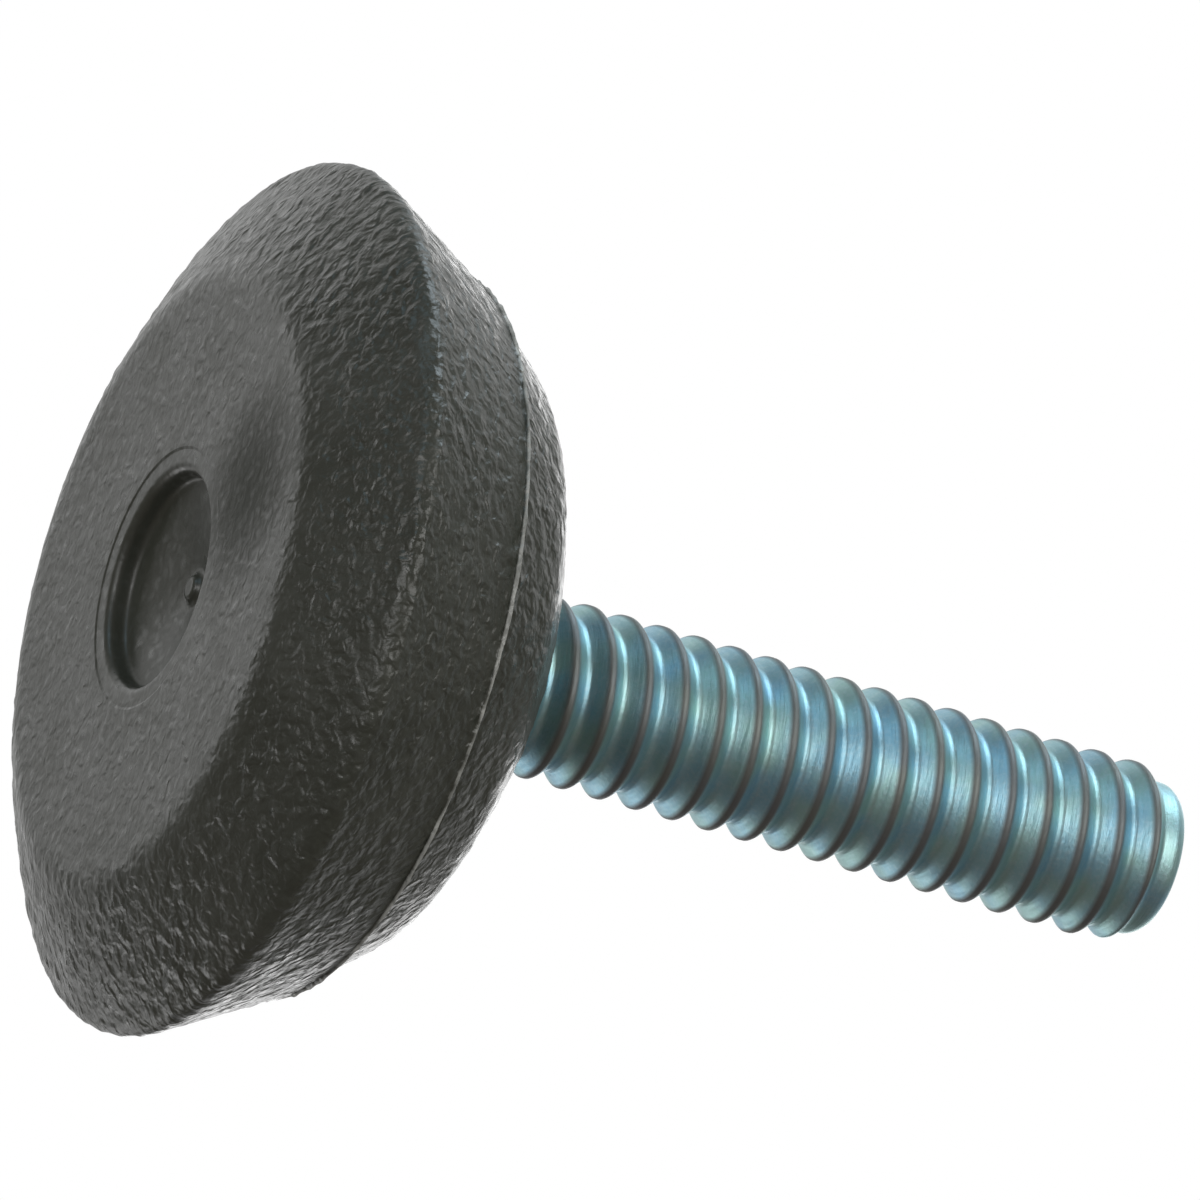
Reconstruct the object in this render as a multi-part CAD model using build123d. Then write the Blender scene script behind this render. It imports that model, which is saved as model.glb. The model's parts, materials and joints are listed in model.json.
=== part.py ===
from build123d import *
import os

# Leveling foot: a moulded plastic base with a steel screw standing in it.
# Millimetres. The origin is the centre of the flat bottom face, and +Z runs up the screw.

# Base outline, from the floor up
BASE_HEIGHT = 9.8
FACE_RADIUS = 8.15
WIDEST_RADIUS = 11.71
WIDEST_HEIGHT = 2.0
SLOPE_CROWN = 0.06
PARTING_RADIUS = 9.65
PARTING_HEIGHT = 5.75
PARTING_STEP = 0.3
SHOULDER_RADIUS = 7.98
SHOULDER_HEIGHT = 7.7
SHOULDER_CROWN = 0.02
DOME_CROWN = 0.07
LAND_RADIUS = 3.3

# Softened mould edges
FACE_EDGE_ROUND = 2.0
WIDEST_EDGE_ROUND = 0.5
SHOULDER_ROUND = 2.4
LAND_ROUND = 0.4

# Gate recess in the bottom face
RECESS_RADIUS = 3.1
RECESS_DRAFT = 0.08
RECESS_WALL_DEPTH = 0.58
RECESS_CENTRE_DEPTH = 1.28
RECESS_RIM_ROUND = 0.1
GATE_RADIUS = 0.42
GATE_TIP_RADIUS = 0.3
GATE_HEIGHT = 0.35

# Steel screw, threaded from the plastic to the tip; its length is taken under the head
SCREW_LENGTH = 22.2
THREAD_MAJOR_RADIUS = 2.38
SHANK_RADIUS = 2.07
TIP_RADIUS = 2.0
TIP_TAPER_LENGTH = 0.8

# Hex head, moulded in under a cover of plastic
HEAD_ACROSS_FLATS = 7.94
HEAD_HEIGHT = 3.05
HEAD_EDGE_CHAMFER = 0.3
HEAD_COVER = 3.1
MOULDED_FIT = 0.0

HEAD_TOP = BASE_HEIGHT - HEAD_COVER
HEAD_BOTTOM = HEAD_TOP - HEAD_HEIGHT
TOTAL_HEIGHT = HEAD_TOP + SCREW_LENGTH


# A line from start to end, crowned outwards by a given rise at its middle
def crowned(start, end, rise):
    run = Vector(end) - Vector(start)
    outward = Vector(run.Y, -run.X).normalized()
    middle = Vector(start) + run * 0.5 + outward * rise
    return ThreePointArc(start, (middle.X, middle.Y), end)


# The base's outer half section, in radius and height
def outer_section():
    face_edge = (FACE_RADIUS, 0)
    widest = (WIDEST_RADIUS, WIDEST_HEIGHT)
    parting = (PARTING_RADIUS, PARTING_HEIGHT)
    step = (PARTING_RADIUS - PARTING_STEP, PARTING_HEIGHT)
    shoulder = (SHOULDER_RADIUS, SHOULDER_HEIGHT)
    land = (LAND_RADIUS, BASE_HEIGHT)
    with BuildSketch() as section:
        with BuildLine():
            Line((0, 0), face_edge)
            crowned(face_edge, widest, SLOPE_CROWN)
            Line(widest, parting)
            Line(parting, step)
            crowned(step, shoulder, SHOULDER_CROWN)
            crowned(shoulder, land, DOME_CROWN)
            Line(land, (0, BASE_HEIGHT))
            Line((0, BASE_HEIGHT), (0, 0))
        make_face()
        corners = (
            (face_edge, FACE_EDGE_ROUND),
            (widest, WIDEST_EDGE_ROUND),
            (shoulder, SHOULDER_ROUND),
            (land, LAND_ROUND),
        )
        for place, radius in corners:
            corner = section.vertices().sort_by_distance((place[0], place[1], 0))[0]
            fillet(corner, radius)
    return section.sketch


# The recess's half section: a drafted wall and a floor that dips to the middle
def recess_section():
    rim = (RECESS_RADIUS + RECESS_RIM_ROUND, 0)
    wall_top = (RECESS_RADIUS, RECESS_RIM_ROUND)
    wall_foot = (RECESS_RADIUS - RECESS_DRAFT, RECESS_WALL_DEPTH)
    with BuildSketch() as section:
        with BuildLine():
            Line((0, 0), rim)
            Line(rim, wall_top)
            Line(wall_top, wall_foot)
            Line(wall_foot, (0, RECESS_CENTRE_DEPTH))
            Line((0, RECESS_CENTRE_DEPTH), (0, 0))
        make_face()
    return section.sketch


# A section drawn in radius and height, turned about the screw's axis
def turned(section):
    upright = Plane.XZ * section
    return revolve(upright, Axis.Z, 360)


# The gate's stub: a short tapered pip standing off the recess's floor
def gate_stub():
    root = Plane.XY.offset(RECESS_CENTRE_DEPTH - GATE_HEIGHT)
    taper = Cone(
        GATE_TIP_RADIUS,
        GATE_RADIUS,
        GATE_HEIGHT,
        align=(Align.CENTER, Align.CENTER, Align.MIN),
    )
    return root * taper


# The hex head, its outer face's rim broken, grown by a fit on every side
def hex_head(fit):
    across = HEAD_ACROSS_FLATS + 2 * fit
    corner_radius = across / 3**0.5
    blank = extrude(
        Plane.XY.offset(HEAD_BOTTOM - fit) * RegularPolygon(corner_radius, 6),
        HEAD_HEIGHT + 2 * fit,
    )
    rim = blank.faces().sort_by(Axis.Z)[0].edges()
    return chamfer(rim, HEAD_EDGE_CHAMFER)


# The plain shank between the head and the thread, grown by a fit
def shank(fit):
    return Plane.XY.offset(HEAD_TOP) * Cylinder(
        SHANK_RADIUS + fit,
        BASE_HEIGHT - HEAD_TOP,
        align=(Align.CENTER, Align.CENTER, Align.MIN),
    )


# The stretch that carries the thread, at the crests' radius, with its tapered tip
def threaded_length():
    taper_start = TOTAL_HEIGHT - TIP_TAPER_LENGTH
    bar = Plane.XY.offset(BASE_HEIGHT) * Cylinder(
        THREAD_MAJOR_RADIUS,
        taper_start - BASE_HEIGHT,
        align=(Align.CENTER, Align.CENTER, Align.MIN),
    )
    tip = Plane.XY.offset(taper_start) * Cone(
        THREAD_MAJOR_RADIUS,
        TIP_RADIUS,
        TIP_TAPER_LENGTH,
        align=(Align.CENTER, Align.CENTER, Align.MIN),
    )
    return bar + tip


def foot_base():
    moulding = turned(outer_section()) - turned(recess_section()) + gate_stub()
    return moulding - hex_head(MOULDED_FIT) - shank(MOULDED_FIT)


def threaded_stud():
    return hex_head(0) + shank(0) + threaded_length()


os.makedirs("parts", exist_ok=True)
export_step(foot_base(), "parts/foot_base.step")
export_step(threaded_stud(), "parts/threaded_stud.step")
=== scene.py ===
import json
from math import ceil, cos, pi, radians, sin, sqrt, tan
from typing import NamedTuple

import bmesh
import bpy
from mathutils import Matrix, Vector, noise


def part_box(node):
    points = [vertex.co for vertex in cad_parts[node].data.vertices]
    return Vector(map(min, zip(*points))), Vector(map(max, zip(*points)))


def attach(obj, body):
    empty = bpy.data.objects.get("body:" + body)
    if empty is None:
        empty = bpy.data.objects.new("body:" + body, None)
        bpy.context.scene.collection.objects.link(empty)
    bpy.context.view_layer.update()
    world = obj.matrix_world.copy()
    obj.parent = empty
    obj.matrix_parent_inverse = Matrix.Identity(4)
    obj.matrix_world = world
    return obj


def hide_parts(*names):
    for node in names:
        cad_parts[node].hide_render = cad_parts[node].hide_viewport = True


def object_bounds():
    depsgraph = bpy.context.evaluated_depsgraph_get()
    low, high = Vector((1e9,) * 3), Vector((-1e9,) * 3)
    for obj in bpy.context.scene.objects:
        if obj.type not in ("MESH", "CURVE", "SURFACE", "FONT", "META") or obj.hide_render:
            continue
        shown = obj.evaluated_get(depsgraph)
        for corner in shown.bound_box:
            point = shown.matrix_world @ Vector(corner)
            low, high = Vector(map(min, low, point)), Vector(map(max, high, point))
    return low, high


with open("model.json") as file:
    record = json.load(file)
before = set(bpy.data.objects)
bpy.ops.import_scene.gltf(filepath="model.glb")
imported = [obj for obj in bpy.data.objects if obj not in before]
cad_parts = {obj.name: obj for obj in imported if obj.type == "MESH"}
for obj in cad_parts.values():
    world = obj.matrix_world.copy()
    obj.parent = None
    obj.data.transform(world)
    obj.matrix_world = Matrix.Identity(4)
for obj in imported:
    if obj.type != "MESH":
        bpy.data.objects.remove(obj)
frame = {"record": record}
cad_low, cad_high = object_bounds()

# Leveling foot: a grained plastic base with a blue-plated screw, upright on a pale floor.
# Sections are drawn in millimetres and the meshes are made in metres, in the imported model's frame.
MM = 0.001

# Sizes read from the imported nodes
BASE_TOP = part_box("foot_base")[1].z / MM
HEAD_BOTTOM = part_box("threaded_stud")[0].z / MM
SCREW_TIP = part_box("threaded_stud")[1].z / MM
HEAD_CORNER_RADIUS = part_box("threaded_stud")[1].x / MM
THREAD_PIN = next(m for m in frame["record"]["mounts"] if m["name"] == "stud")
CREST_RADIUS = THREAD_PIN["dims"]["r_mm"]

# Base outline
FACE_RADIUS = 8.15
WIDEST_RADIUS = 11.71
WIDEST_HEIGHT = 2.0
PARTING_RADIUS = 9.65
PARTING_HEIGHT = 5.75
PARTING_STEP = 0.3
PARTING_STEP_RISE = 0.05
SHOULDER_RADIUS = 7.98
SHOULDER_HEIGHT = 7.7
LAND_RADIUS = 3.3
SLOPE_CROWN = 0.06
SHOULDER_CROWN = 0.02
DOME_CROWN = 0.07
FACE_EDGE_ROUND = 2.0
WIDEST_EDGE_ROUND = 0.5
PARTING_STEP_ROUND = 0.06
SHOULDER_ROUND = 2.4
LAND_ROUND = 0.4

# Flash along the parting line, whose reach wavers in broad and in fine swings
FLASH_BASE = 0.025
FLASH_REACH = 0.09
FLASH_THICKNESS = 0.09
FLASH_BEVEL = 0.03
FLASH_MEAN = 0.3
BROAD_SWING = 0.9
BROAD_SWING_RATE = 2.1
FINE_SWING = 0.8
FINE_SWING_RATE = 23.0

# Gate recess, with the witness ring round its lip and the gate's stub on its floor
RECESS_DRAFT = 0.08
RECESS_WALL_DEPTH = 0.58
RECESS_CENTRE_DEPTH = 1.28
RECESS_FOOT_ROUND = 0.2
LIP_RADIUS = 2.88
LIP_ROUND = 0.28
WITNESS_RADIUS = 3.42
WITNESS_STEP = 0.03
WITNESS_SLOPE = 0.07
WITNESS_ROUND = 0.04
GATE_RADIUS = 0.42
GATE_TIP_RADIUS = 0.3
GATE_HEIGHT = 0.35
GATE_TIP_ROUND = 0.15
GATE_ROOT_ROUND = 0.2

# Screw
PITCH = 1.0583
ROOT_RADIUS = 2.04
CREST_FLAT = 0.1
FLANK_LENGTH = 0.42
STRAIGHT_FLANK_SHARE = 0.55
EASED_FLANK_SHARE = 0.45
CREST_HEIGHT_AT_BACK = 11.81
SHANK_RADIUS = 2.07
HEAD_TOP = 6.7
HEAD_EDGE_CHAMFER = 0.3
THREAD_START = 9.25
RUN_OUT_START = 27.95
RUN_OUT_END = 28.35
POINT_RADIUS = 2.02
POINT_ROUND_START = 28.55
POINT_END_RADIUS = 1.84
CUP_RIM = 0.35
CUP_DEPTH = 0.14

# How the moulding fits round the buried screw
BORE_FIT = 0.02
BORE_GRIP_DEPTH = 0.5

# Segments round the axis, and rows along one pitch of the thread
COARSE_SEGMENTS = 144
MIDDLE_SEGMENTS = 288
FINE_SEGMENTS = 576
THREAD_SEGMENTS = 160
THREAD_ROWS = 20

# Distance between the rows of the base's section
LIP_SPACING = 0.06
DETAIL_SPACING = 0.1
SIDE_SPACING = 0.121
DOME_SPACING = 0.13
SHOULDER_SPACING = 0.14
EDGE_SPACING = 0.15
FACE_SPACING = 0.16
BORE_SPACING = 0.3
BURIED_SPACING = 1.4

# Width of the bottom face's outer ring, where the fine segments start
FACE_OUTER_RING = 1.0

# Steepest edges, in degrees, that are shaded smooth
BASE_CREASE = 50
SCREW_CREASE = 55
FLOOR_CREASE = 30

# Grain pressed into the plastic
GRAIN_LENGTH = 0.5
GRAIN_WARP = 0.25
GRAIN_WARP_LENGTH = 0.8
WARP_OFFSETS = (Vector((0, 0, 0)), Vector((31.4, 7.9, 12.6)), Vector((-17.2, 23.8, 5.3)))
GRAIN_DEPTH = 0.08
GRAIN_VALLEY = 0.16
GRAIN_MEAN = 0.3
SWELL_LENGTH = 3.0
SWELL_DEPTH = 0.03

# How strongly each stretch of the base takes the grain
RECESS_GRAIN = 0.08
DETAIL_GRAIN = 0.1
NECK_GRAIN = 0.2
FACE_GRAIN = 0.3
STEP_GRAIN = 0.3
UPPER_GRAIN = 0.8
BAND_GRAIN = 0.9
SLOPE_GRAIN = 1.0

# Stands in place of a grain weight on the row that carries the flash
FLASH_ROW = -1.0


# A run of the base's section, from the corner before it to its own corner
class Run(NamedTuple):
    corner: tuple
    segments: int
    grain: float = 0.0
    corner_round: float = 0.0
    spacing: float = DETAIL_SPACING
    crown: float = 0.0


def between(start, end, share):
    return start + (end - start) * share


def smoothstep(low, high, value):
    share = min(1.0, max(0.0, (value - low) / (high - low)))
    return share * share * (3 - 2 * share)


# Points along a crowned run: radius, height, as vectors, the first one left out
def run_points(start, end, crown, spacing):
    count = max(1, ceil((end - start).length / spacing))
    side = (end - start).normalized()
    outward = Vector((side.y, -side.x))
    points = []
    for i in range(1, count + 1):
        share = i / count
        points.append(between(start, end, share) + outward * (4 * crown * share * (1 - share)))
    return points


# Points of the round between two runs that meet at a corner
def round_points(start, corner, end, spacing):
    count = max(2, ceil(((corner - start).length + (end - corner).length) / spacing))
    points = []
    for i in range(1, count + 1):
        share = i / count
        points.append(between(between(start, corner, share), between(corner, end, share), share))
    return points


# How far back from a corner its round starts
def set_back(before, corner, after, radius):
    turn = (corner - before).angle(after - corner)
    return radius * tan(turn / 2)


# The whole section as rows of (radius, height), grain weight and segment count
def section_rows(runs):
    corners = [Vector(run.corner) for run in runs]
    rows = [(corners[0], runs[0].grain, runs[0].segments)]
    last = corners[0]
    for i in range(1, len(runs)):
        run = runs[i]
        corner = corners[i]
        if run.corner_round:
            back = set_back(corners[i - 1], corner, corners[i + 1], run.corner_round)
            enter = corner + (corners[i - 1] - corner).normalized() * back
            leave = corner + (corners[i + 1] - corner).normalized() * back
            points = run_points(last, enter, run.crown, run.spacing)
            points += round_points(enter, corner, leave, min(run.spacing, back / 2))
            last = leave
        else:
            points = run_points(last, corner, run.crown, run.spacing)
            last = corner
        rows += [(point, run.grain, run.segments) for point in points]
    return rows


# Outward direction at each row of the section
def row_normals(rows):
    normals = []
    for i in range(len(rows)):
        before = rows[max(0, i - 1)][0]
        after = rows[min(len(rows) - 1, i + 1)][0]
        along = (after - before).normalized()
        normals.append(Vector((along.y, -along.x)))
    return normals


# A shift that wanders from place to place, the same on every run
def wandering_shift(place):
    return Vector([noise.noise(place + offset) for offset in WARP_OFFSETS])


# Height of the pressed grain at a place, about nought on average
def grain_height(place):
    warped = place + wandering_shift(place / GRAIN_WARP_LENGTH) * GRAIN_WARP
    wave = noise.noise(warped / GRAIN_LENGTH)
    pebble = sqrt(wave * wave + GRAIN_VALLEY * GRAIN_VALLEY) - GRAIN_MEAN
    swell = noise.noise(place / SWELL_LENGTH)
    return GRAIN_DEPTH * pebble + SWELL_DEPTH * swell


# How far the flash stands out at an angle round the parting line
def flash_reach(angle):
    around = Vector((cos(angle), sin(angle), 0))
    broad = noise.noise(around * BROAD_SWING_RATE)
    fine = noise.noise(around * FINE_SWING_RATE)
    swing = FLASH_MEAN + BROAD_SWING * broad + FINE_SWING * fine
    return FLASH_BASE + FLASH_REACH * max(0.0, swing)


# A vertex at a radius, an angle and a height, sizes in millimetres
def vertex_at(bm, radius, angle, height):
    return bm.verts.new((radius * cos(angle) * MM, radius * sin(angle) * MM, height * MM))


# Joins two rings of vertices, one to one, one to two or two to one
def join_rings(bm, low, high):
    n = min(len(low), len(high))
    for i in range(n):
        j = (i + 1) % n
        if len(low) == len(high):
            bm.faces.new((low[i], low[j], high[j], high[i]))
        elif len(low) < len(high):
            a, b, c = high[2 * i], high[2 * i + 1], high[2 * j]
            bm.faces.new((low[i], b, a))
            bm.faces.new((low[i], low[j], b))
            bm.faces.new((low[j], c, b))
        else:
            a, b, c = low[2 * i], low[2 * i + 1], low[2 * j]
            bm.faces.new((a, b, high[i]))
            bm.faces.new((b, high[j], high[i]))
            bm.faces.new((b, c, high[j]))


# One ring of the base, raised by its grain or drawn out by its flash
def base_ring(bm, point, normal, grain, segments):
    ring = []
    for i in range(segments):
        angle = 2 * pi * i / segments
        radius, height = point.x, point.y
        if grain == FLASH_ROW:
            radius += flash_reach(angle)
        elif grain:
            place = Vector((radius * cos(angle), radius * sin(angle), height))
            rise = grain * grain_height(place)
            radius += normal.x * rise
            height += normal.y * rise
        ring.append(vertex_at(bm, radius, angle, height))
    return ring


# Turns a section about the upright axis, with poles at both of its ends
def turned_mesh(rows):
    normals = row_normals(rows)
    bm = bmesh.new()
    start_pole = vertex_at(bm, 0, 0, rows[0][0].y)
    end_pole = vertex_at(bm, 0, 0, rows[-1][0].y)
    previous = None
    for (point, grain, segments), normal in zip(rows[1:-1], normals[1:-1]):
        ring = base_ring(bm, point, normal, grain, segments)
        if previous is None:
            for i in range(segments):
                bm.faces.new((start_pole, ring[(i + 1) % segments], ring[i]))
        else:
            join_rings(bm, ring, previous)
        previous = ring
    for i in range(len(previous)):
        bm.faces.new((end_pole, previous[i], previous[(i + 1) % len(previous)]))
    bmesh.ops.recalc_face_normals(bm, faces=bm.faces)
    return bm


def finished_object(bm, name, crease):
    mesh = bpy.data.meshes.new(name)
    bm.to_mesh(mesh)
    bm.free()
    mesh.shade_smooth()
    mesh.set_sharp_from_angle(angle=radians(crease))
    piece = bpy.data.objects.new(name, mesh)
    bpy.context.scene.collection.objects.link(piece)
    return piece


# The gate's stub, the recess round it and the witness ring
def recess_runs():
    foot_radius = LIP_RADIUS - RECESS_DRAFT
    floor_slope = (RECESS_CENTRE_DEPTH - RECESS_WALL_DEPTH) / foot_radius
    gate_root = RECESS_CENTRE_DEPTH - GATE_RADIUS * floor_slope
    gate_tip = RECESS_CENTRE_DEPTH - GATE_HEIGHT
    coarse, middle = COARSE_SEGMENTS, MIDDLE_SEGMENTS
    return [
        Run((0, gate_tip), coarse),
        Run((GATE_TIP_RADIUS, gate_tip), coarse, DETAIL_GRAIN, GATE_TIP_ROUND),
        Run((GATE_RADIUS, gate_root), coarse, DETAIL_GRAIN, GATE_ROOT_ROUND),
        Run((foot_radius, RECESS_WALL_DEPTH), middle, RECESS_GRAIN, RECESS_FOOT_ROUND, DOME_SPACING),
        Run((LIP_RADIUS, WITNESS_STEP), middle, RECESS_GRAIN, LIP_ROUND, LIP_SPACING),
        Run((WITNESS_RADIUS, WITNESS_STEP), middle, DETAIL_GRAIN, WITNESS_ROUND),
        Run((WITNESS_RADIUS + WITNESS_SLOPE, 0), middle, DETAIL_GRAIN, WITNESS_ROUND),
    ]


# The bottom face, the slope, the band, the flash, the shoulder, the dome and the land
def outer_runs():
    face_inner = (FACE_RADIUS - FACE_OUTER_RING, 0)
    face_edge = (FACE_RADIUS, 0)
    widest = (WIDEST_RADIUS, WIDEST_HEIGHT)
    flash_foot = (PARTING_RADIUS, PARTING_HEIGHT - FLASH_THICKNESS)
    flash_edge = (PARTING_RADIUS, PARTING_HEIGHT)
    flash_top = (PARTING_RADIUS - FLASH_BEVEL, PARTING_HEIGHT + FLASH_BEVEL)
    step = (PARTING_RADIUS - PARTING_STEP, PARTING_HEIGHT + PARTING_STEP_RISE)
    shoulder = (SHOULDER_RADIUS, SHOULDER_HEIGHT)
    land = (LAND_RADIUS, BASE_TOP)
    neck = (ROOT_RADIUS, BASE_TOP)
    coarse, middle, fine = COARSE_SEGMENTS, MIDDLE_SEGMENTS, FINE_SEGMENTS
    return [
        Run(face_inner, middle, FACE_GRAIN, spacing=FACE_SPACING),
        Run(face_edge, fine, FACE_GRAIN, FACE_EDGE_ROUND, EDGE_SPACING),
        Run(widest, fine, SLOPE_GRAIN, WIDEST_EDGE_ROUND, SIDE_SPACING, SLOPE_CROWN),
        Run(flash_foot, fine, BAND_GRAIN, spacing=SIDE_SPACING),
        Run(flash_edge, fine, FLASH_ROW),
        Run(flash_top, fine, DETAIL_GRAIN),
        Run(step, fine, STEP_GRAIN, PARTING_STEP_ROUND),
        Run(shoulder, fine, UPPER_GRAIN, SHOULDER_ROUND, SHOULDER_SPACING, SHOULDER_CROWN),
        Run(land, middle, UPPER_GRAIN, LAND_ROUND, DOME_SPACING, DOME_CROWN),
        Run(neck, coarse, NECK_GRAIN, spacing=EDGE_SPACING),
    ]


# The bore that grips the thread, then the pocket round the shank and the head
def pocket_runs():
    grip_end = BASE_TOP - BORE_GRIP_DEPTH
    shank_side = SHANK_RADIUS + BORE_FIT
    head_side = HEAD_CORNER_RADIUS + BORE_FIT
    pocket_roof = HEAD_TOP + BORE_FIT
    pocket_floor = HEAD_BOTTOM - BORE_FIT
    coarse = COARSE_SEGMENTS
    return [
        Run((ROOT_RADIUS, grip_end), coarse, spacing=BORE_SPACING),
        Run((shank_side, grip_end), coarse, spacing=BORE_SPACING),
        Run((shank_side, pocket_roof), coarse, spacing=BURIED_SPACING),
        Run((head_side, pocket_roof), coarse, spacing=BURIED_SPACING),
        Run((head_side, pocket_floor), coarse, spacing=BURIED_SPACING),
        Run((0, pocket_floor), coarse, spacing=BURIED_SPACING),
    ]


def base_mesh():
    return turned_mesh(section_rows(recess_runs() + outer_runs() + pocket_runs()))


# Radius of the thread's section at a share of its pitch, crest in the middle
def thread_section(share):
    reach = (CREST_FLAT / 2 + FLANK_LENGTH) / PITCH
    climb = min(1.0, max(0.0, (reach - abs(share - 0.5)) * PITCH / FLANK_LENGTH))
    eased = smoothstep(0, 1, climb)
    rise = STRAIGHT_FLANK_SHARE * climb + EASED_FLANK_SHARE * eased
    return between(ROOT_RADIUS, CREST_RADIUS, rise)


# The thread's section kept inside the plain shank below and the rounded point above
def screw_radius(share, height):
    if height < THREAD_START:
        return SHANK_RADIUS
    run_out = smoothstep(RUN_OUT_START, RUN_OUT_END, height)
    radius = between(thread_section(share), POINT_RADIUS, run_out)
    if height <= POINT_ROUND_START:
        return radius
    rounding = (height - POINT_ROUND_START) / (SCREW_TIP - POINT_ROUND_START)
    return min(radius, between(POINT_RADIUS, POINT_END_RADIUS, rounding**2))


# An open tube whose rows follow the thread, longer than the screw at both ends
def helical_tube(bm, low, high):
    steps = ceil((high - low) / PITCH + 2) * THREAD_SEGMENTS
    start = CREST_HEIGHT_AT_BACK - PITCH / 2
    start -= ceil((start - low) / PITCH + 1) * PITCH
    strips = []
    for k in range(steps + 1):
        angle = pi + 2 * pi * k / THREAD_SEGMENTS
        strip = []
        for m in range(THREAD_ROWS):
            share = m / THREAD_ROWS
            height = start + PITCH * (k / THREAD_SEGMENTS + share)
            strip.append(vertex_at(bm, screw_radius(share, height), angle, height))
        strips.append(strip)
    top = THREAD_ROWS - 1
    for k in range(steps):
        here, ahead = strips[k], strips[k + 1]
        for m in range(top):
            bm.faces.new((here[m], ahead[m], ahead[m + 1], here[m + 1]))
        turn_on = k + THREAD_SEGMENTS
        if turn_on + 1 <= steps:
            bm.faces.new((here[top], ahead[top], strips[turn_on + 1][0], strips[turn_on][0]))


# How near to a cut, in metres, a vertex counts as on it
CUT_TOLERANCE = 1e-9


# Cuts the tube level at a height, drops the part on the facing side and returns the rim's edges
def trim(bm, height, facing):
    everything = bm.verts[:] + bm.edges[:] + bm.faces[:]
    cut = bmesh.ops.bisect_plane(
        bm,
        geom=everything,
        dist=CUT_TOLERANCE,
        plane_co=(0, 0, height * MM),
        plane_no=(0, 0, facing),
        clear_outer=True,
    )
    return [e for e in cut["geom_cut"] if isinstance(e, bmesh.types.BMEdge)]


# Closes the screw's tip with a slightly cupped end
def cupped_end(bm, tip_edges):
    cap = bmesh.ops.contextual_create(bm, geom=tip_edges)["faces"]
    bmesh.ops.inset_region(bm, faces=cap, thickness=CUP_RIM * MM, depth=0)
    bmesh.ops.inset_region(bm, faces=cap, thickness=CUP_RIM * MM, depth=-CUP_DEPTH * MM)


def hexagon(bm, corner_radius, height):
    return [vertex_at(bm, corner_radius, radians(60 * i), height) for i in range(6)]


# Hex head with a broken outer rim, joined to the rim of the shank above it
def hex_head(bm, neck_edges):
    inner_radius = HEAD_CORNER_RADIUS - HEAD_EDGE_CHAMFER / cos(radians(30))
    top = hexagon(bm, HEAD_CORNER_RADIUS, HEAD_TOP)
    side = hexagon(bm, HEAD_CORNER_RADIUS, HEAD_BOTTOM + HEAD_EDGE_CHAMFER)
    under = hexagon(bm, inner_radius, HEAD_BOTTOM)
    top_edges = [bm.edges.new((top[i], top[(i + 1) % 6])) for i in range(6)]
    bmesh.ops.bridge_loops(bm, edges=neck_edges + top_edges)
    for upper, lower in ((top, side), (side, under)):
        for i in range(6):
            j = (i + 1) % 6
            bm.faces.new((upper[i], upper[j], lower[j], lower[i]))
    bm.faces.new(under)


def screw_mesh():
    bm = bmesh.new()
    helical_tube(bm, HEAD_TOP, SCREW_TIP)
    tip_edges = trim(bm, SCREW_TIP, 1)
    neck_edges = trim(bm, HEAD_TOP, -1)
    cupped_end(bm, tip_edges)
    hex_head(bm, neck_edges)
    bmesh.ops.recalc_face_normals(bm, faces=bm.faces)
    return bm


WHOLE = (0.0, 1.0)
WHITE = (1.0, 1.0, 1.0)
NOISE_MIDDLE = 0.5


def add_node(tree, kind, inputs=(), **settings):
    made = tree.nodes.new(kind)
    for key, value in settings.items():
        setattr(made, key, value)
    for key, value in dict(inputs).items():
        if isinstance(value, bpy.types.NodeSocket):
            tree.links.new(value, made.inputs[key])
        else:
            made.inputs[key].default_value = value
    return made


def math_node(tree, operation, *values):
    return add_node(tree, "ShaderNodeMath", enumerate(values), operation=operation).outputs[0]


def plus(tree, first, second):
    return math_node(tree, "ADD", first, second)


def times(tree, first, second):
    return math_node(tree, "MULTIPLY", first, second)


def vector_node(tree, operation, inputs):
    return add_node(tree, "ShaderNodeVectorMath", inputs, operation=operation).outputs


# Carries a value from one pair of limits over to another, held at both ends
def ramp(tree, value, limits, results=WHOLE, **settings):
    inputs = {
        "Value": value,
        "From Min": limits[0],
        "From Max": limits[1],
        "To Min": results[0],
        "To Max": results[1],
    }
    return add_node(tree, "ShaderNodeMapRange", inputs, **settings).outputs["Result"]


# A ramp whose limits are given in millimetres
def ramp_mm(tree, value, limits, results=WHOLE):
    return ramp(tree, value, (limits[0] * MM, limits[1] * MM), results)


def mixed_colour(tree, share, first, second):
    mixer = add_node(tree, "ShaderNodeMix", data_type="RGBA")
    tree.links.new(share, mixer.inputs[0])
    for socket, value in ((mixer.inputs[6], first), (mixer.inputs[7], second)):
        if isinstance(value, bpy.types.NodeSocket):
            tree.links.new(value, socket)
        else:
            socket.default_value = (*value, 1)
    return mixer.outputs[2]


# A noise's outputs; its texture is a length in millimetres, a detail and a roughness
def noise_outputs(tree, place, texture):
    length, detail, roughness = texture
    inputs = {"Vector": place, "Scale": 1 / (length * MM), "Detail": detail, "Roughness": roughness}
    return add_node(tree, "ShaderNodeTexNoise", inputs).outputs


def noise_value(tree, place, texture):
    return noise_outputs(tree, place, texture)["Fac"]


# Distance from the screw's axis
def axis_distance(tree, split):
    squares = [times(tree, split[axis], split[axis]) for axis in "XY"]
    return math_node(tree, "SQRT", plus(tree, squares[0], squares[1]))


def add_bump(tree, shader, strength, depth, relief):
    inputs = {"Strength": strength, "Distance": depth * MM, "Height": relief}
    bump = add_node(tree, "ShaderNodeBump", inputs)
    tree.links.new(bump.outputs["Normal"], shader.inputs["Normal"])


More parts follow.
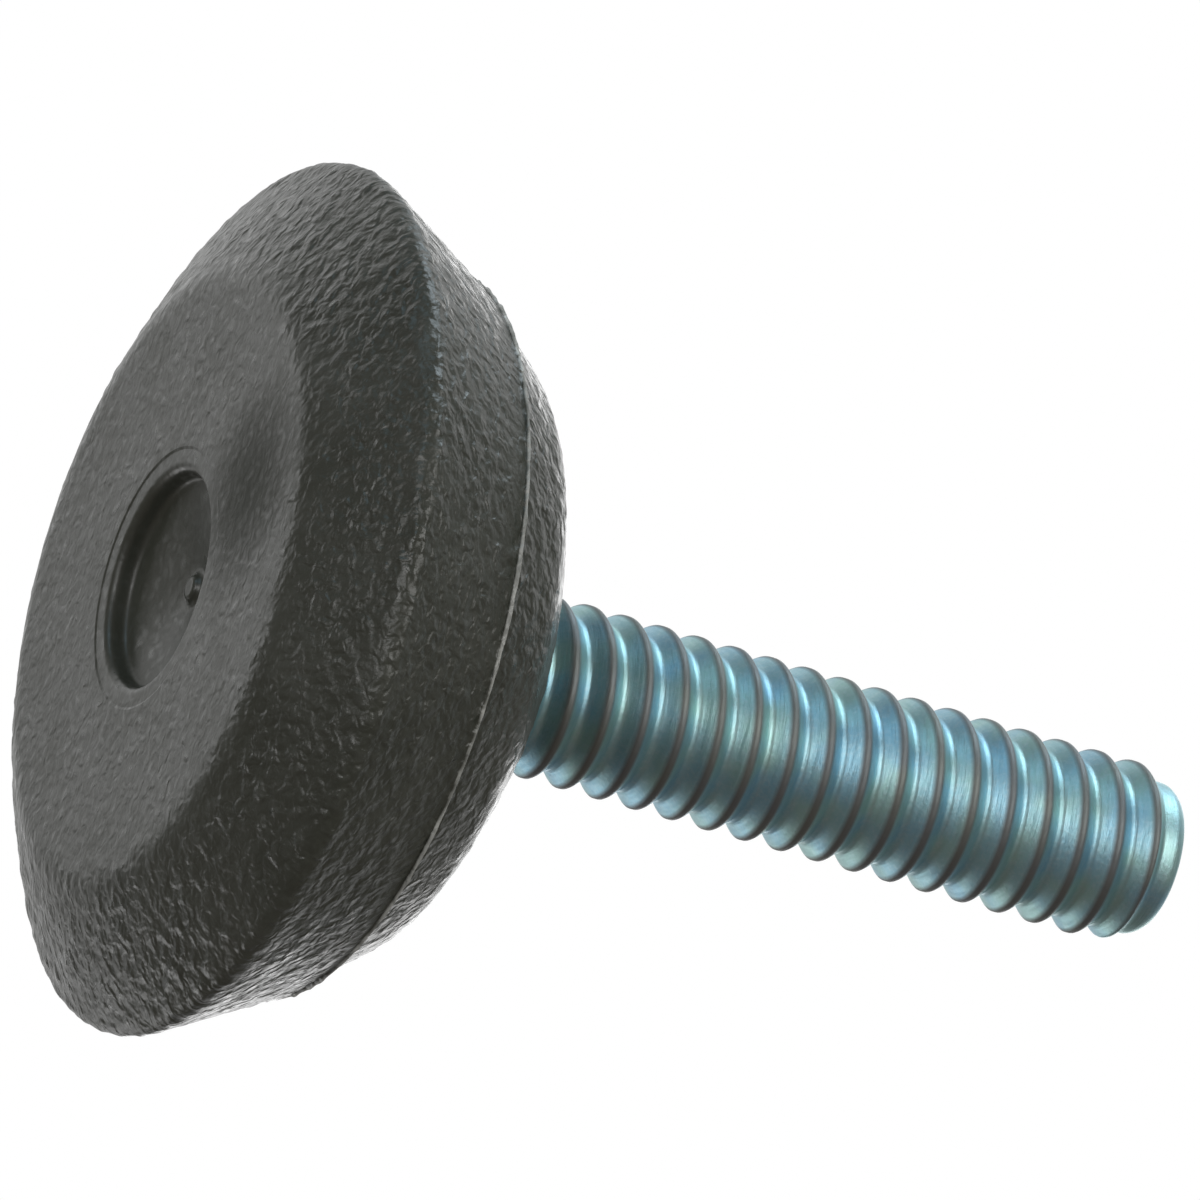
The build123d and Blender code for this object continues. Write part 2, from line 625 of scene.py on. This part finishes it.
def new_material(name):
    material = bpy.data.materials.new(name)
    material.use_nodes = True
    tree = material.node_tree
    shader = tree.nodes["Principled BSDF"]
    place = add_node(tree, "ShaderNodeTexCoord").outputs["Object"]
    return material, tree, shader, place


# Plastic's noises
PLASTIC_WARP = (0.5, 1.0, 0.5)
WRINKLES = (0.42, 1.0, 0.5)
PEBBLES = (0.38, 1.5, 0.5)
PITS = (0.09, 2.0, 0.5)
PATCHES = (2.4, 3.0, 0.5)

# Plastic's finest relief, and where its strength grows, in millimetres from the axis or the floor
PLASTIC_WARP_SHIFT = 0.3
WRINKLE_VALLEY = 0.06
WRINKLE_SOFTNESS = 0.12
WRINKLE_WEIGHT = 0.45
PIT_WEIGHT = 0.1
PLASTIC_RELIEF_DEPTH = 0.12
RECESS_TO_FACE = (LIP_RADIUS - 0.1, WITNESS_RADIUS + 0.4)
FACE_STRENGTH = (0.1, 0.48)
FACE_TO_SIDE = (FACE_RADIUS - 0.8, FACE_RADIUS + 0.4)
FLOOR_TO_SIDE = (0.03, 0.6)
SIDE_STRENGTH = (0.0, 0.6)

# Plastic's tones, with the painted highlights on the grain's ridges and along the flash, and where each
# takes over
PLASTIC_DARK = (0.021, 0.023, 0.017)
PLASTIC_LIGHT = (0.027, 0.029, 0.022)
PATCH_LIMITS = (0.35, 0.65)
# Painted highlight: the grain's ridges are painted lighter than the rest, as if they caught the light
RIDGE_PAINTED_HIGHLIGHT = (0.045, 0.047, 0.042)
RIDGE_LIMITS = (0.15, 0.5)
RIDGE_HIGHLIGHT_SHARE = (0.0, 0.4)
# Painted highlight: the flash along the parting line is painted light grey
FLASH_PAINTED_HIGHLIGHT = (0.26, 0.26, 0.24)
FLASH_RADII = (PARTING_RADIUS + 0.005, PARTING_RADIUS + 0.04)
FLASH_EDGE = (0.8 * FLASH_THICKNESS, FLASH_THICKNESS)

# Plastic's gloss, as roughness, with a dull patch on the bottom face beside the recess
GLOSS_LIMITS = (0.1, 0.5)
GLOSS = (0.36, 0.24)
RUBBED_LIMITS = (0.4, 0.7)
RUBBED = (0.0, 0.08)
SMUDGE_PLACE = (-2.9 * MM, -4.3 * MM, 0)
SMUDGE_LIMITS = (0.3, 3.2)
SMUDGE = (0.4, 0.0)
PLASTIC_IOR = 1.48


# The place shifted here and there by a noise
def warped_place(tree, place):
    warp = noise_outputs(tree, place, PLASTIC_WARP)["Color"]
    shift = vector_node(tree, "SUBTRACT", {0: warp, 1: (NOISE_MIDDLE,) * 3})[0]
    scaled = vector_node(tree, "SCALE", {0: shift, "Scale": PLASTIC_WARP_SHIFT * MM})[0]
    return vector_node(tree, "ADD", {0: place, 1: scaled})[0]


# Rounded wrinkles, the valleys between them kept soft
def wrinkles_of(tree, place):
    wave = math_node(tree, "SUBTRACT", noise_value(tree, place, WRINKLES), NOISE_MIDDLE)
    folded = times(tree, math_node(tree, "ABSOLUTE", wave), 2.0)
    return math_node(tree, "SMOOTH_MAX", folded, WRINKLE_VALLEY, WRINKLE_SOFTNESS)


# Strength of the fine relief: faint in the recess, fuller on the face and fullest on the sides
def relief_strength(tree, around, height):
    inside = ramp_mm(tree, around, RECESS_TO_FACE, FACE_STRENGTH)
    outside = ramp_mm(tree, height, FLOOR_TO_SIDE, SIDE_STRENGTH)
    beyond_face = ramp_mm(tree, around, FACE_TO_SIDE)
    return plus(tree, inside, times(tree, outside, beyond_face))


# Where the flash's painted highlight goes: past the parting line's radius and close to its height
def flash_highlight_share(tree, around, height):
    beyond = ramp_mm(tree, around, FLASH_RADII)
    offset = math_node(tree, "SUBTRACT", height, PARTING_HEIGHT * MM)
    near = ramp_mm(tree, math_node(tree, "ABSOLUTE", offset), FLASH_EDGE, (1.0, 0.0))
    return times(tree, beyond, near)


def plastic_roughness(tree, place, wrinkles, patches):
    gloss = ramp(tree, wrinkles, GLOSS_LIMITS, GLOSS)
    rubbed = ramp(tree, patches, RUBBED_LIMITS, RUBBED)
    smudge = vector_node(tree, "DISTANCE", {0: place, 1: SMUDGE_PLACE})["Value"]
    dulled = ramp_mm(tree, smudge, SMUDGE_LIMITS, SMUDGE)
    return plus(tree, gloss, plus(tree, rubbed, dulled))


def plastic_material():
    material, tree, shader, place = new_material("grained_plastic")
    split = add_node(tree, "ShaderNodeSeparateXYZ", {0: place}).outputs
    height = split["Z"]
    around = axis_distance(tree, split)
    warped = warped_place(tree, place)
    wrinkles = wrinkles_of(tree, warped)
    pebbles = noise_value(tree, warped, PEBBLES)
    pits = noise_value(tree, place, PITS)
    patches = noise_value(tree, place, PATCHES)
    relief = plus(tree, times(tree, wrinkles, WRINKLE_WEIGHT), times(tree, pits, PIT_WEIGHT))
    relief = plus(tree, relief, pebbles)
    add_bump(tree, shader, relief_strength(tree, around, height), PLASTIC_RELIEF_DEPTH, relief)
    tone = mixed_colour(tree, ramp(tree, patches, PATCH_LIMITS), PLASTIC_DARK, PLASTIC_LIGHT)
    # Painted highlight on the grain's ridges
    tone = mixed_colour(tree, ramp(tree, wrinkles, RIDGE_LIMITS, RIDGE_HIGHLIGHT_SHARE), tone, RIDGE_PAINTED_HIGHLIGHT)
    # Painted highlight along the flash
    tone = mixed_colour(tree, flash_highlight_share(tree, around, height), tone, FLASH_PAINTED_HIGHLIGHT)
    tree.links.new(tone, shader.inputs["Base Color"])
    roughness = plastic_roughness(tree, place, wrinkles, patches)
    tree.links.new(roughness, shader.inputs["Roughness"])
    shader.inputs["IOR"].default_value = PLASTIC_IOR
    return material


# Plating's noises; the streaks are squeezed along the axis, so that they run round the screw
STREAKS = (0.9, 3.0, 0.6)
CLOUDS = (1.6, 2.0, 0.5)
GRIT = (0.12, 3.0, 0.6)
STREAK_SQUEEZE = (1, 1, 14)

# Plating's tones, and the painted shade along the crest lines
PLATING_BLUE = (0.25, 0.45, 0.55)
PLATING_GREEN = (0.31, 0.50, 0.49)
CLOUD_LIMITS = (0.38, 0.62)
GRIT_TONE = (0.40, 0.55, 0.60)
GRIT_LIMITS = (0.45, 0.75)
GRIT_SHARE = (0.0, 0.5)
# Painted shade: the crests are painted a dark brownish grey
CREST_PAINTED_SHADE = (0.14, 0.125, 0.115)
CREST_RADII = (CREST_RADIUS - 0.09, CREST_RADIUS - 0.01)
CREST_SHADE_SHARE = 0.85

# Plating's sheen and relief
PLATING_METALLIC = 0.95
STREAK_LIMITS = (0.3, 0.7)
STREAK_ROUGHNESS = (0.40, 0.50)
CREST_ROUGHNESS = 0.12
GRIT_WEIGHT = 0.5
PLATING_RELIEF_STRENGTH = 0.8
PLATING_RELIEF_DEPTH = 0.016


def plating_material():
    material, tree, shader, place = new_material("blue_plating")
    split = add_node(tree, "ShaderNodeSeparateXYZ", {0: place}).outputs
    squeezed = add_node(tree, "ShaderNodeMapping", {"Vector": place, "Scale": STREAK_SQUEEZE})
    streaks = noise_value(tree, squeezed.outputs[0], STREAKS)
    clouds = noise_value(tree, place, CLOUDS)
    grit = noise_value(tree, place, GRIT)
    crest = ramp_mm(tree, axis_distance(tree, split), CREST_RADII)
    tone = mixed_colour(tree, ramp(tree, clouds, CLOUD_LIMITS), PLATING_BLUE, PLATING_GREEN)
    tone = mixed_colour(tree, ramp(tree, grit, GRIT_LIMITS, GRIT_SHARE), tone, GRIT_TONE)
    # Painted shade along the crest lines
    tone = mixed_colour(tree, times(tree, crest, CREST_SHADE_SHARE), tone, CREST_PAINTED_SHADE)
    tree.links.new(tone, shader.inputs["Base Color"])
    shader.inputs["Metallic"].default_value = PLATING_METALLIC
    brushed = ramp(tree, streaks, STREAK_LIMITS, STREAK_ROUGHNESS)
    roughness = plus(tree, brushed, times(tree, crest, CREST_ROUGHNESS))
    tree.links.new(roughness, shader.inputs["Roughness"])
    relief = plus(tree, streaks, times(tree, grit, GRIT_WEIGHT))
    add_bump(tree, shader, PLATING_RELIEF_STRENGTH, PLATING_RELIEF_DEPTH, relief)
    return material


# Floor, its radius and fade in metres
FLOOR_RADIUS = 1.5
FLOOR_SEGMENTS = 96
FLOOR_FADE = (0.12, 0.6)
SPECKLE = (0.8, 3.0, 0.5)
FLOOR_DARK = (0.80, 0.80, 0.79)
FLOOR_LIGHT = (0.84, 0.84, 0.83)
FLOOR_ROUGHNESS = 0.9


# Pale floor, seen only from above, that fades out into the white background
def floor_material():
    material, tree, shader, place = new_material("pale_floor")
    light_path = add_node(tree, "ShaderNodeLightPath").outputs
    geometry = add_node(tree, "ShaderNodeNewGeometry").outputs
    distance = vector_node(tree, "LENGTH", {0: place})["Value"]
    kept = ramp(tree, distance, FLOOR_FADE, (1.0, 0.0))
    above = math_node(tree, "SUBTRACT", 1.0, geometry["Backfacing"])
    shown = times(tree, light_path["Is Camera Ray"], times(tree, above, kept))
    clear = add_node(tree, "ShaderNodeBsdfTransparent").outputs[0]
    mixer = add_node(tree, "ShaderNodeMixShader", {0: shown, 1: clear, 2: shader.outputs[0]})
    tree.links.new(mixer.outputs[0], tree.nodes["Material Output"].inputs["Surface"])
    tone = mixed_colour(tree, noise_value(tree, place, SPECKLE), FLOOR_DARK, FLOOR_LIGHT)
    tree.links.new(tone, shader.inputs["Base Color"])
    shader.inputs["Roughness"].default_value = FLOOR_ROUGHNESS
    return material


def make_floor():
    bm = bmesh.new()
    bmesh.ops.create_circle(bm, cap_ends=True, radius=FLOOR_RADIUS, segments=FLOOR_SEGMENTS)
    floor = finished_object(bm, "floor", FLOOR_CREASE)
    floor.data.materials.append(floor_material())


# Strength of the world on matt surfaces, and in front and behind as reflections show it
AMBIENT = 0.55
DIM_FRONT = 0.155
LIT_BACK = 1.0
DIM_TINT = (1.0, 0.74, 0.62)
BACKDROP_SIDE = (-0.2, 0.88, 0.42)
BACKDROP_LIMITS = (0.42, 0.95)
TINT_LIMITS = (0.0, 0.5)


# White to the camera; as reflections show it, white behind the object and dim in front
def make_world():
    world = bpy.data.worlds.new("studio")
    world.use_nodes = True
    tree = world.node_tree
    background = tree.nodes["Background"]
    light_path = add_node(tree, "ShaderNodeLightPath").outputs
    towards = add_node(tree, "ShaderNodeTexCoord").outputs["Generated"]
    behind = vector_node(tree, "DOT_PRODUCT", {0: towards, 1: BACKDROP_SIDE})["Value"]
    lit = (DIM_FRONT, LIT_BACK)
    backdrop = ramp(tree, behind, BACKDROP_LIMITS, lit, interpolation_type="SMOOTHSTEP")
    mirrored = math_node(tree, "MAXIMUM", light_path["Is Glossy Ray"], light_path["Is Transmission Ray"])
    strength = ramp(tree, mirrored, WHOLE, (AMBIENT, backdrop))
    strength = ramp(tree, light_path["Is Camera Ray"], WHOLE, (strength, 1.0))
    tree.links.new(strength, background.inputs["Strength"])
    direct = math_node(tree, "SUBTRACT", 1.0, mirrored)
    whiter = math_node(tree, "MAXIMUM", ramp(tree, behind, TINT_LIMITS), direct)
    tree.links.new(mixed_colour(tree, whiter, DIM_TINT, WHITE), background.inputs["Color"])
    bpy.context.scene.world = world


# Distance of every lamp from the object's middle, in metres
LAMP_DISTANCE = 0.5

# Direction towards each lamp, its width and length in metres, its power in watts and its colour
LAMPS = (
    ("front", (-0.38, -0.8, 0.46), 0.36, 0.34, 1.35, (1.0, 1.0, 0.98)),
    ("near", (-0.2, -0.62, -0.76), 0.24, 0.24, 0.75, WHITE),
    ("top", (-0.9, 0.12, 0.36), 0.3, 0.3, 1.3, (0.76, 0.9, 1.0)),
    ("upper", (-0.76, -0.12, -0.64), 0.22, 0.22, 0.28, (0.5, 0.8, 1.0)),
    ("left", (-0.07, -0.24, -0.97), 0.17, 0.17, 0.12, WHITE),
    ("under", (-0.03, 0.78, -0.62), 0.16, 0.16, 0.13, WHITE),
    ("corner", (-0.42, 0.83, -0.33), 0.34, 0.34, 0.2, WHITE),
    ("low", (0.64, 0.72, -0.24), 0.22, 0.22, 0.28, WHITE),
    ("back", (0.06, 0.84, 0.54), 0.34, 0.2, 0.52, WHITE),
)


def make_lamps():
    centre = (cad_low + cad_high) / 2
    for name, direction, width, length, power, colour in LAMPS:
        light = bpy.data.lights.new(name, "AREA")
        light.shape = "RECTANGLE"
        light.size = width
        light.size_y = length
        light.energy = power
        light.color = colour
        lamp = bpy.data.objects.new(name, light)
        towards = Vector(direction).normalized()
        lamp.location = centre + towards * LAMP_DISTANCE
        lamp.rotation_mode = "QUATERNION"
        lamp.rotation_quaternion = towards.to_track_quat("Z", "Y")
        lamp.visible_camera = False
        bpy.context.scene.collection.objects.link(lamp)


# The photograph's view: the screw lies down to the right and the bottom face looks left.
# The origin's place in it is in pixels from the top left, and the distance in millimetres.
PHOTO_SIDE = 1200
ORIGIN_ACROSS = 155.9
ORIGIN_DOWN = 577.8
PIXELS_PER_MM = 39.1
VIEW_DISTANCE = 900.0
AXIS_AWAY = radians(22.8)
AXIS_DROP = radians(15.95)


def make_camera():
    right = Vector((-sin(AXIS_DROP), -sin(AXIS_AWAY) * cos(AXIS_DROP), cos(AXIS_AWAY) * cos(AXIS_DROP)))
    down = Vector((cos(AXIS_DROP), -sin(AXIS_AWAY) * sin(AXIS_DROP), cos(AXIS_AWAY) * sin(AXIS_DROP)))
    forward = Vector((0, cos(AXIS_AWAY), sin(AXIS_AWAY)))
    across = (ORIGIN_ACROSS - PHOTO_SIDE / 2) / PIXELS_PER_MM
    below = (ORIGIN_DOWN - PHOTO_SIDE / 2) / PIXELS_PER_MM
    camera_data = bpy.data.cameras.new("photo_camera")
    camera_data.lens = camera_data.sensor_width * VIEW_DISTANCE * PIXELS_PER_MM / PHOTO_SIDE
    camera = bpy.data.objects.new("photo_camera", camera_data)
    camera.location = -(right * across + down * below + forward * VIEW_DISTANCE) * MM
    turn = Matrix((right, -down, -forward)).transposed()
    camera.rotation_mode = "QUATERNION"
    camera.rotation_quaternion = turn.to_quaternion()
    bpy.context.scene.collection.objects.link(camera)
    bpy.context.scene.camera = camera


make_camera()
bpy.context.scene.view_settings.view_transform = "Standard"

base = finished_object(base_mesh(), "grained_base", BASE_CREASE)
base.data.materials.append(plastic_material())
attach(base, "root")
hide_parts("foot_base")

screw = finished_object(screw_mesh(), "threaded_screw", SCREW_CREASE)
screw.data.materials.append(plating_material())
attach(screw, "root")
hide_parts("threaded_stud")

make_floor()
make_world()
make_lamps()
